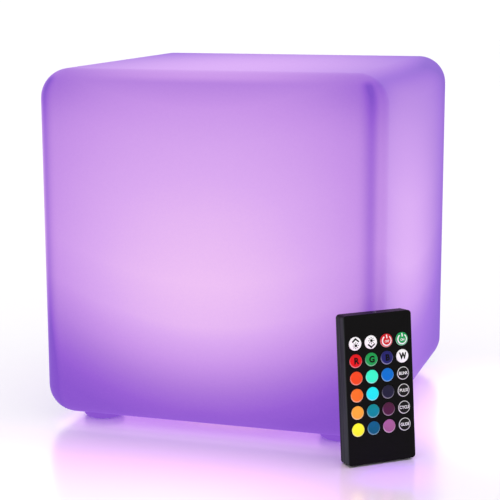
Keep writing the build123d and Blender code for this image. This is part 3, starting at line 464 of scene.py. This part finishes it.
zinc_steel = metal("zinc_plated_steel", "#C9CCD0", "#A9ADB3", roughness=0.32, spots_mm=0.6)
drawn_steel = metal(
    "drawn_stainless_steel", "#B9BABD", "#98999D", roughness=0.28, spots_mm=0.5,
    stretch=(1.0, 1.0, 0.15),
)
nickel = metal(
    "nickel_plated_strip", "#CFC8B8", "#B3AC9D", roughness=0.25, spots_mm=0.4,
    stretch=(1.0, 0.2, 1.0),
)
pressed_steel = metal(
    "pressed_stainless_steel", "#C4C6C9", "#A6A8AC", roughness=0.24, spots_mm=0.5
)
dress(
    zinc_steel, "base_screws", "dome_screws", "control_board_screws", "battery_strap_screws",
    "remote_screws",
)
dress(drawn_steel, "charge_socket")
dress(nickel, "battery_contacts", "remote_cell_contacts", "remote_contact_domes")
dress(pressed_steel, "remote_coin_cell")

# %% [markdown]
# ## Circuit boards
# A board is glass fibre with copper tracks under a coat of lacquer, which is green on the control
# board and the remote's board, and white on the LED board, where it throws the light back. The
# tracks show through a little, lighter under the green and darker under the white. A brick pattern
# with thin joints gives runs that turn at right angles.

# %% Lacquered boards
TRACK_WIDTH, TRACK_RELIEF, RUN_PITCHES = 0.22 * MM, 0.035 * MM, 5.5


def lacquered(name, lacquer, track, pitch_mm):
    """A circuit board's lacquer with the tracks showing through."""
    material, shader, place = new_material(name)
    tracks = add_node(
        material, "TexBrick", Vector=place, Color1=lacquer, Color2=lacquer, Mortar=track,
        Scale=1.0, Mortar_Size=TRACK_WIDTH, Mortar_Smooth=0.2,
        Brick_Width=RUN_PITCHES * pitch_mm * MM, Row_Height=pitch_mm * MM, offset=0.37,
        squash=0.6, squash_frequency=3,
    )
    relief = add_node(
        material, "Bump", Height=tracks.outputs["Fac"], Strength=0.3, Distance=TRACK_RELIEF
    )
    feed(shader, {"Base Color": tracks, "Roughness": 0.3, "Normal": relief})
    return material


green_lacquer = lacquered("green_lacquered_fr4", "#1E6B3C", "#3C8F58", pitch_mm=1.4)
white_lacquer = lacquered("white_lacquered_fr4", "#EFEDF2", "#DCD6E2", pitch_mm=2.2)
dress(green_lacquer, "control_board", "remote_board")
dress(white_lacquer, "led_board")

# %% [markdown]
# ## Clear and wrapped pieces
# The status window is clear acrylic, so the light behind it shows as a green point. The infrared
# emitter is dark tinted epoxy. The cell is a steel can in a shrink sleeve: glossy PVC with faint
# creases round it, and the bare metal of its two ends.

# %% Window, emitter and cell
acrylic, acrylic_shader, acrylic_place = new_material("polished_clear_acrylic")
haze = add_node(acrylic, "TexNoise", Vector=acrylic_place, Scale=1 / (0.8 * MM))
feed(acrylic_shader, {
    "Base Color": "#C8F5D2", "IOR": 1.49, "Transmission Weight": 0.6,
    "Roughness": add_node(acrylic, "Math", haze, 0.12, operation="MULTIPLY"),
    "Emission Color": "#58E07A", "Emission Strength": 0.5,
})
dress(acrylic, "status_window")

epoxy, epoxy_shader, epoxy_place = new_material("cast_infrared_epoxy")
cloud = add_node(epoxy, "TexNoise", Vector=epoxy_place, Scale=1 / (1.5 * MM))
cloud_tint = add_node(epoxy, "ValToRGB", cloud, stops=[(0.3, "#241A3A"), (0.7, "#33264F")])
feed(epoxy_shader, {"Base Color": cloud_tint, "Roughness": 0.12, "IOR": 1.54})
dress(epoxy, "remote_ir_emitter")

SLEEVE_HALF = 31.5 * MM
sleeve, sleeve_shader, sleeve_place = new_material("shrunk_pvc_sleeve")
creases = add_node(
    sleeve, "TexWave", Vector=sleeve_place, Scale=1 / (9 * MM), Distortion=3.0, Detail=2.0
)
sleeve_colour = add_node(sleeve, "ValToRGB", creases, stops=[(0.0, "#2E6FA8"), (1.0, "#3779B3")])
from_middle = add_node(
    sleeve, "Math", add_node(sleeve, "SeparateXYZ", sleeve_place), operation="ABSOLUTE"
)
bare_end = add_node(sleeve, "Math", from_middle, SLEEVE_HALF, operation="GREATER_THAN")
sleeve_tint = add_node(sleeve, "Mix", bare_end, A=sleeve_colour, B="#BDBAB2", data_type="RGBA")
feed(sleeve_shader, {"Base Color": sleeve_tint, "Metallic": bare_end, "Roughness": 0.25})
dress(sleeve, "battery_cell")

# %% [markdown]
# ## The remote's black plastic
# The case is black ABS with a matt, very fine texture. In the picture the face is nearly black,
# and the side catches the cube's light: that light is painted on the side as a dark grey, with
# faint streaks along its length where the mould was polished. The case stands turned and tipped,
# so a Mapping node lays the pattern in the case's own directions: x across the face, y up it and
# z out of it.

# %% Remote: its place, and its plastic
REMOTE_TURN, REMOTE_LEAN = math.radians(40.0), math.radians(6.0)
REMOTE_ORIGIN = Vector((98.678, -103.240, -0.079)) * MM
REMOTE_WIDTH, REMOTE_THICKNESS, REMOTE_PARTING = 40 * MM, 10 * MM, 5 * MM
SIDE_STARTS, SIDE_WHOLE = REMOTE_WIDTH / 2 - 0.5 * MM, REMOTE_WIDTH / 2 - 0.1 * MM
PARTING_HALF, PARTING_FADED = 0.08 * MM, 0.22 * MM


def remote_directions():
    """Turns a place on the remote (x across, y up the face, z out of it) into one in the room."""
    across = Vector((math.cos(REMOTE_TURN), math.sin(REMOTE_TURN), 0.0))
    level = math.cos(REMOTE_LEAN)
    out = Vector((
        math.sin(REMOTE_TURN) * level, -math.cos(REMOTE_TURN) * level, math.sin(REMOTE_LEAN)
    ))
    turn = Matrix((across, out.cross(across), out)).transposed().to_4x4()
    return Matrix.Translation(REMOTE_ORIGIN) @ turn


remote_place = remote_directions()


def on_remote(material, place):
    """Object coordinates laid in the remote's own directions."""
    return add_node(
        material, "Mapping", place, Location=remote_place.translation,
        Rotation=remote_place.to_euler(), vector_type="TEXTURE",
    )


black_abs, black_shader, black_coords = new_material("moulded_black_abs")
case_place = on_remote(black_abs, black_coords)
case_split = add_node(black_abs, "SeparateXYZ", case_place)
texture = add_node(black_abs, "TexNoise", Vector=case_place, Scale=1 / (0.35 * MM), Detail=3.0)
face_tint = add_node(black_abs, "ValToRGB", texture, stops=[(0.3, "#0B0B0B"), (0.7, "#111010")])
drawn_out = add_node(black_abs, "Mapping", case_place, Scale=(1.0, 0.03, 1.0))
streaks = add_node(black_abs, "TexNoise", Vector=drawn_out, Scale=1 / (1.6 * MM), Detail=2.0)
# The side's dark grey is painted light from the cube, with the mould's streaks in it
painted_lit_side_streaks = add_node(black_abs, "ValToRGB", streaks, stops=[(0.35, "#1F2422"), (0.6, "#363D3B")])

# A place belongs to the case's side, where the light is painted, in the last half millimetre of
# its width
from_centre = add_node(black_abs, "Math", case_split.outputs[0], operation="ABSOLUTE")
on_case_side = add_node(black_abs, "MapRange", from_centre, SIDE_STARTS, SIDE_WHOLE)
case_tint = add_node(black_abs, "Mix", on_case_side, face_tint, painted_lit_side_streaks, data_type="RGBA")

# The parting line between the halves of the case is a fine dark line
past_parting = add_node(
    black_abs, "Math", case_split.outputs[2], REMOTE_PARTING, operation="SUBTRACT"
)
from_parting = add_node(black_abs, "Math", past_parting, operation="ABSOLUTE")
off_parting = add_node(black_abs, "MapRange", from_parting, PARTING_HALF, PARTING_FADED)
parted_tint = add_node(black_abs, "Mix", off_parting, "#060606", case_tint, data_type="RGBA")
case_relief = add_node(black_abs, "Bump", Height=texture, Strength=0.15, Distance=0.04 * MM)
feed(black_shader, {
    "Base Color": parted_tint, "Roughness": 0.42, "Specular IOR Level": 0.05,
    "Normal": case_relief,
})
dress(black_abs, "remote_front_cover", "remote_back_cover", "remote_battery_door")

# %% [markdown]
# ## Keys
# Each key is silicone with a hard clear drop on top, which gives it a wet gloss. All 24 share one
# recipe and differ in colour. The drop gathers light at its rim, most of all on the lower side,
# which faces the bright floor: there each key has a painted highlight, a pale crescent in its
# own colour.

# %% Keys: one recipe, 24 colours
KEY_PITCH, KEY_RADIUS, TOP_ROW, KEY_COLUMNS = 9.2 * MM, 3.55 * MM, 64.95 * MM, 4
HIGHLIGHT_SIDE_SHARE, HIGHLIGHT_UNEVEN = 0.9, 0.04
HIGHLIGHT_STOPS = ((0.82, 0.0), (0.88, 0.18), (0.95, 0.52))
KEY_COLOURS = {
    "brightness_up": "#FFFEFF", "brightness_down": "#FFFEFF", "off": "#D8202A", "on": "#1FA35A",
    "red": "#E3141C", "green": "#1FA050", "blue": "#25236B", "white": "#FFFEFF",
    "vermilion": "#F54A20", "mint": "#3DFFCC", "azure": "#0A72D1", "blink": "#161515",
    "orange": "#FA7427", "cyan": "#22F0F6", "indigo": "#23203A", "pulse": "#161515",
    "amber": "#FCAB3E", "teal": "#098995", "plum": "#501D3F", "cycle": "#161515",
    "yellow": "#FCFF34", "petrol": "#0A5D7A", "orchid": "#A35F8C", "glide": "#161515",
}
key_places = {}
for index, key_name in enumerate(KEY_COLOURS):
    row, column = divmod(index, KEY_COLUMNS)
    across = column - (KEY_COLUMNS - 1) / 2
    key_places[key_name] = (across * KEY_PITCH, TOP_ROW - row * KEY_PITCH)


def lighter(colour, share):
    """A hex colour moved a share of the way towards white."""
    parts = [int(colour[i:i + 2], 16) for i in (1, 3, 5)]
    return "#" + "".join(f"{round(p + (255 - p) * share):02X}" for p in parts)


def key_finish(key_name, colour):
    """Coloured silicone under a clear drop, with a painted highlight: a thin pale crescent round
    its lower rim.
    """
    material, shader, place = new_material("clear_drop_on_silicone_" + key_name)
    key_middle = (*key_places[key_name], REMOTE_THICKNESS)
    from_middle = add_node(
        material, "VectorMath", on_remote(material, place), key_middle, operation="SUBTRACT"
    )
    flat = add_node(material, "VectorMath", from_middle, (1.0, 1.0, 0.0), operation="MULTIPLY")
    radius = add_node(material, "VectorMath", flat, operation="LENGTH")
    swirl = add_node(material, "TexNoise", Vector=place, Scale=1 / (2.5 * MM))
    share = add_node(material, "Math", radius, HIGHLIGHT_SIDE_SHARE / KEY_RADIUS, operation="MULTIPLY")
    up_face = add_node(material, "SeparateXYZ", flat).outputs[1]
    highlight_reach = add_node(
        material, "Math", up_face, (HIGHLIGHT_SIDE_SHARE - 1) / KEY_RADIUS, share, operation="MULTIPLY_ADD"
    )
    uneven = add_node(material, "Math", swirl, HIGHLIGHT_UNEVEN, highlight_reach, operation="MULTIPLY_ADD")
    # The pale rim is a painted highlight, strongest on the key's lower side
    rim = [(position, lighter(colour, paler)) for position, paler in HIGHLIGHT_STOPS]
    tint = add_node(material, "ValToRGB", uneven, stops=[(0.0, colour), *rim])
    feed(shader, {
        "Base Color": tint, "Roughness": 0.3, "Specular IOR Level": 0.04, "Coat Weight": 0.12,
        "Coat Roughness": 0.06,
    })
    return material


for key_name, colour in KEY_COLOURS.items():
    dress(key_finish(key_name, colour), "key_" + key_name)
print("keys dressed:", len(KEY_COLOURS))

# %% [markdown]
# ## Printed marks: ink and how it is laid
# The keys carry small printed marks: a sun with an arrow for brighter and dimmer, the switch sign
# with ON and OFF, a letter on red, green, blue and white, and a ring with a word on the four keys
# that make the light move. Ink is a film with real thickness, so each mark is a thin mesh of its
# own. It is drawn flat, cut into small pieces, and then every point is lifted onto the key's round
# crown.

# %% Ink: drawing flat shapes and laying them on a crown
def ink(name, colour, shade):
    """Screen-printing ink: an even film with a slightly uneven edge of pigment."""
    material, shader, place = new_material(name)
    pigment = add_node(material, "TexNoise", Vector=place, Scale=1 / (0.3 * MM), Detail=2.0)
    tint = add_node(material, "ValToRGB", pigment, stops=[(0.3, shade), (0.6, colour)])
    feed(shader, {"Base Color": tint, "Roughness": 0.35, "Specular IOR Level": 0.05})
    return material


white_ink = ink("white_screen_ink", "#FBFBFB", "#EDECED")
black_ink = ink("black_screen_ink", "#0B0A0B", "#141214")
grey_ink = ink("grey_screen_ink", "#5B5464", "#4F4858")

CROWN_RISE, KEY_EDGE = 0.75 * MM, 10.2 * MM
CROWN_RADIUS = (KEY_RADIUS**2 + CROWN_RISE**2) / (2 * CROWN_RISE)
CROWN_MIDDLE = KEY_EDGE + CROWN_RISE - CROWN_RADIUS
INK_FILM, INK_SINK, CUT_STEP, MERGE_STEP = 0.06 * MM, 0.02 * MM, 0.5 * MM, 0.004 * MM
CAPITAL_SHARE = 0.7


def start_fresh():
    """Nothing selected, so that the next operator acts on the next shape alone."""
    if bpy.context.object and bpy.context.object.mode != "OBJECT":
        bpy.ops.object.mode_set(mode="OBJECT")
    bpy.ops.object.select_all(action="DESELECT")


def pick(shape):
    """This shape alone selected and active."""
    start_fresh()
    shape.select_set(True)
    bpy.context.view_layer.objects.active = shape


def apply_place(shape):
    """Put an object's place, turn and size into its mesh."""
    pick(shape)
    bpy.ops.object.transform_apply(location=True, rotation=True, scale=True)
    return shape


def bar(x, y, width, height, turn=0.0):
    """A flat bar by its middle, in millimetres."""
    start_fresh()
    bpy.ops.mesh.primitive_plane_add(
        size=1.0, location=(x * MM, y * MM, 0), rotation=(0, 0, math.radians(turn))
    )
    shape = bpy.context.object
    shape.scale = (width * MM, height * MM, 1)
    return apply_place(shape)


def disc(x, y, radius):
    """A flat disc by its middle, in millimetres."""
    start_fresh()
    bpy.ops.mesh.primitive_circle_add(
        vertices=20, radius=radius * MM, fill_type="NGON", location=(x * MM, y * MM, 0)
    )
    return apply_place(bpy.context.object)


def ring(radius, width, gap_degrees=0.0):
    """A flat ring round the middle, in millimetres, which a gap can open at its top."""
    start_fresh()
    bpy.ops.mesh.primitive_circle_add(vertices=72, radius=radius * MM)
    shape = bpy.context.object
    bpy.ops.object.mode_set(mode="EDIT")
    bpy.ops.mesh.select_all(action="SELECT")
    bpy.ops.mesh.extrude_edges_move()
    share = (radius - width) / radius
    bpy.ops.transform.resize(value=(share, share, 1), center_override=(0, 0, 0))
    bpy.ops.mesh.select_all(action="DESELECT")
    bpy.ops.object.mode_set(mode="OBJECT")
    for vertex in shape.data.vertices:
        from_top = abs(math.degrees(math.atan2(vertex.co.x, vertex.co.y)))
        vertex.select = from_top < gap_degrees / 2
    bpy.ops.object.mode_set(mode="EDIT")
    bpy.ops.mesh.delete(type="VERT")
    bpy.ops.object.mode_set(mode="OBJECT")
    return shape


def switch_sign(radius, line, gap_degrees, bar_y, bar_height):
    """The sign of a switch: a ring that is open at its top, and a bar in the gap."""
    return [ring(radius, line, gap_degrees), bar(0, bar_y, line, bar_height)]


def outline(corners):
    """A flat shape from its corners in order, in millimetres."""
    start_fresh()
    bpy.ops.mesh.primitive_circle_add(vertices=len(corners), fill_type="NGON")
    shape = bpy.context.object
    for vertex, (x, y) in zip(shape.data.vertices, corners):
        vertex.co = (x * MM, y * MM, 0)
    shape.data.update()
    return shape


def word(text, x, y, height, weight=0.03, narrow=1.0):
    """A word in the plain built-in letters, by its middle, as a flat mesh."""
    start_fresh()
    bpy.ops.object.text_add(location=(x * MM, y * MM, 0))
    shape = bpy.context.object
    shape.data.body = text
    shape.data.align_x, shape.data.align_y = "CENTER", "CENTER"
    shape.data.size = height * MM / CAPITAL_SHARE
    shape.data.offset = weight * MM
    shape.data.resolution_u = 4
    bpy.ops.object.convert(target="MESH")
    shape = bpy.context.object
    shape.scale = (narrow, 1, 1)
    return apply_place(shape)


def joined(name, shapes, finish):
    """One named object from several, with one finish."""
    start_fresh()
    for shape in shapes:
        shape.select_set(True)
    bpy.context.view_layer.objects.active = shapes[0]
    if len(shapes) > 1:
        bpy.ops.object.join()
    whole = bpy.context.object
    whole.name = name
    whole.data.materials.clear()
    whole.data.materials.append(finish)

    # Turn over the faces that look down, so that the film grows upwards everywhere
    bpy.ops.object.mode_set(mode="EDIT")
    bpy.ops.mesh.select_mode(type="FACE")
    bpy.ops.mesh.select_all(action="DESELECT")
    bpy.ops.object.mode_set(mode="OBJECT")
    for face in whole.data.polygons:
        face.select = face.normal.z < 0
    bpy.ops.object.mode_set(mode="EDIT")
    bpy.ops.mesh.flip_normals()
    bpy.ops.mesh.select_mode(type="VERT")
    bpy.ops.object.mode_set(mode="OBJECT")
    return whole


def cut_finely(shape, reach, step):
    """Cut a flat mesh along a grid, so that it can follow a curve."""
    bpy.ops.object.mode_set(mode="EDIT")
    for direction in ((1, 0, 0), (0, 1, 0)):
        for count in range(-int(reach / step), int(reach / step) + 1):
            bpy.ops.mesh.select_all(action="SELECT")
            cut_place = [part * count * step for part in direction]
            bpy.ops.mesh.bisect(plane_co=cut_place, plane_no=direction)
    bpy.ops.object.mode_set(mode="OBJECT")


def thicken(shape, film):
    """Give a flat film its thickness, outwards, and leave it a clean closed mesh."""
    pick(shape)
    bpy.ops.object.mode_set(mode="EDIT")
    bpy.ops.mesh.select_all(action="SELECT")
    bpy.ops.mesh.remove_doubles(threshold=MERGE_STEP)
    bpy.ops.mesh.select_all(action="SELECT")
    bpy.ops.mesh.delete_loose(use_verts=True, use_edges=True, use_faces=False)
    bpy.ops.object.mode_set(mode="OBJECT")
    bpy.ops.object.modifier_add(type="SOLIDIFY")
    shape.modifiers[-1].thickness = film
    shape.modifiers[-1].offset = 1.0
    bpy.ops.object.modifier_apply(modifier=shape.modifiers[-1].name)


def print_on_key(key_name, shapes, finish):
    """Join flat shapes, lay them on a key's crown and let the mark ride with the key."""
    mark = joined("mark_" + key_name, shapes, finish)
    cut_finely(mark, KEY_RADIUS, CUT_STEP)
    x, y = key_places[key_name]
    for vertex in mark.data.vertices:
        off_axis = vertex.co.x**2 + vertex.co.y**2
        lift = CROWN_MIDDLE + math.sqrt(CROWN_RADIUS**2 - off_axis) - INK_SINK
        vertex.co = (vertex.co.x + x, vertex.co.y + y, lift)
    thicken(mark, INK_FILM)
    mark.data.transform(remote_place)
    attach(mark, "key_" + key_name)


# %% [markdown]
# ## Printed marks: one for each key
# The four keys that make the light move carry plain words for what they do. They are generic, as
# the ON and OFF of a switch are.

# %% Marks of the top two rows
SUN_RAYS, RAY_TURN, RAY_MIDDLE, RAY_WIDTH, RAY_LENGTH = 8, 45.0, 1.46, 0.38, 0.64
SUN_RADIUS, SUN_Y, ARROW_Y = 0.8, 0.9, 1.85
ARROW_HEAD = ((0, 1.3), (2.2, -0.6), (1.7, -1.2), (0, 0.2), (-1.7, -1.2), (-2.2, -0.6))


def sun(y):
    """A small sun: a disc with short rays round it."""
    rays = []
    for number in range(SUN_RAYS):
        angle = math.radians(number * RAY_TURN)
        x_ray, y_ray = RAY_MIDDLE * math.sin(angle), y + RAY_MIDDLE * math.cos(angle)
        rays.append(bar(x_ray, y_ray, RAY_WIDTH, RAY_LENGTH, -number * RAY_TURN))
    return [disc(0, y, SUN_RADIUS), *rays]


def arrow(y, up):
    """A bent arrow head round a height, in millimetres, that points up or down."""
    way = 1 if up else -1
    return outline([(x, y + way * rise) for x, rise in ARROW_HEAD])


print_on_key("brightness_up", [arrow(ARROW_Y, True), *sun(-SUN_Y)], black_ink)
print_on_key("brightness_down", [*sun(SUN_Y), arrow(-ARROW_Y, False)], black_ink)
for key_name in ("off", "on"):
    sign = switch_sign(radius=2.85, line=0.65, gap_degrees=60, bar_y=2.2, bar_height=1.8)
    name = word(key_name.upper(), 0, -0.35, height=1.2, weight=0.05, narrow=0.85)
    print_on_key(key_name, [*sign, name], white_ink)

# Each letter's weight and narrowing, which keep its strokes from running into each other
LETTERS = {"red": (0.18, 1.0), "green": (0.2, 1.0), "blue": (0.2, 1.0), "white": (0.26, 0.8)}
for key_name, (weight, narrow) in LETTERS.items():
    letter = word(key_name[0].upper(), 0, 0, height=3.2, weight=weight, narrow=narrow)
    print_on_key(key_name, [letter], black_ink)

# %% Marks of the four keys that make the light move
for key_name in ("blink", "pulse", "cycle", "glide"):
    name = word(key_name.upper(), 0, 0, height=1.6, weight=0.05, narrow=0.84)
    print_on_key(key_name, [ring(radius=3.4, width=0.26), name], white_ink)

# %% [markdown]
# ## Marks on the underside and on the battery door
# The picture doesn't show the underside. There the soft button has a raised switch sign that a
# finger can find, ON/OFF is printed beside it, and a plain lightning bolt marks the charging
# socket. Two thin ribs are moulded on the flange: one round the controls and one inside the
# circle of screws. On the remote's back, a raised arrow shows which way the door slides.

# %% Flat shapes for the underside
BOLT = ((0.7, 2.6), (-1.5, -0.4), (0.0, -0.4), (-0.7, -2.6), (1.5, 0.4), (0.0, 0.4))
DOOR_ARROW = (
    (-0.45, 2.8), (0.45, 2.8), (0.45, -0.6), (2.0, -0.6), (0.0, -3.0), (-2.0, -0.6),
    (-0.45, -0.6),
)


def rounded_frame(width, depth, corner, rim):
    """The rim of a rectangle with round corners, in millimetres."""
    shape = bar(0, 0, width, depth)
    bpy.ops.object.mode_set(mode="EDIT")
    bpy.ops.mesh.select_all(action="SELECT")
    bpy.ops.mesh.bevel(offset=corner * MM, segments=8, affect="VERTICES")
    bpy.ops.mesh.select_all(action="SELECT")
    bpy.ops.mesh.inset(thickness=rim * MM)
    bpy.ops.mesh.delete(type="FACE")
    bpy.ops.object.mode_set(mode="OBJECT")
    return shape


# %% Laying them on the underside and on the door
FLANGE_FACE, BUTTON_FACE = 11.3, 10.5
CONTROL_X, CONTROL_Y, LABEL_Y, RIB_Y = 16.0, -16.0, -4.0, -13.0
DOOR_ARROW_Y = 31.0 * MM
RIB_HEIGHT, SIGN_HEIGHT = 0.4 * MM, 0.3 * MM


def underneath(x, y, z):
    """Turns a flat mark over, to look down, and takes it to its place, in millimetres."""
    return Matrix.Translation((x * MM, y * MM, z * MM)) @ Matrix.Rotation(math.pi, 4, "X")


def lay_flat(name, shapes, finish, film, place, body):
    """Join flat shapes, give them their thickness and let the mark ride with a body."""
    mark = joined(name, shapes, finish)
    mark.data.transform(Matrix.Translation((0, 0, -INK_SINK)))
    thicken(mark, film)
    mark.data.transform(place)
    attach(mark, body)


button_sign = switch_sign(radius=3.2, line=0.7, gap_degrees=66, bar_y=2.6, bar_height=2.4)
lay_flat(
    "button_switch_sign", button_sign, grey_silicone, SIGN_HEIGHT,
    underneath(-CONTROL_X, CONTROL_Y, BUTTON_FACE), "power_button",
)
lay_flat(
    "label_on_off", [word("ON/OFF", 0, 0, height=2.4, weight=0.1)], grey_ink, INK_FILM,
    underneath(-CONTROL_X, LABEL_Y, FLANGE_FACE), "cube",
)
lay_flat(
    "label_charging", [outline(BOLT)], grey_ink, INK_FILM,
    underneath(CONTROL_X, LABEL_Y, FLANGE_FACE), "cube",
)
lay_flat(
    "control_rib", [rounded_frame(width=62, depth=31, corner=9, rim=0.8)], white_abs, RIB_HEIGHT,
    underneath(0, RIB_Y, FLANGE_FACE), "cube",
)
lay_flat(
    "flange_rib", [ring(radius=49, width=1.0)], white_abs, RIB_HEIGHT,
    underneath(0, 0, FLANGE_FACE), "cube",
)
on_door = Matrix.Translation((0, DOOR_ARROW_Y, 0)) @ Matrix.Rotation(math.pi, 4, "Y")
lay_flat(
    "door_arrow", [outline(DOOR_ARROW)], black_abs, SIGN_HEIGHT,
    remote_place @ on_door, "battery_door",
)
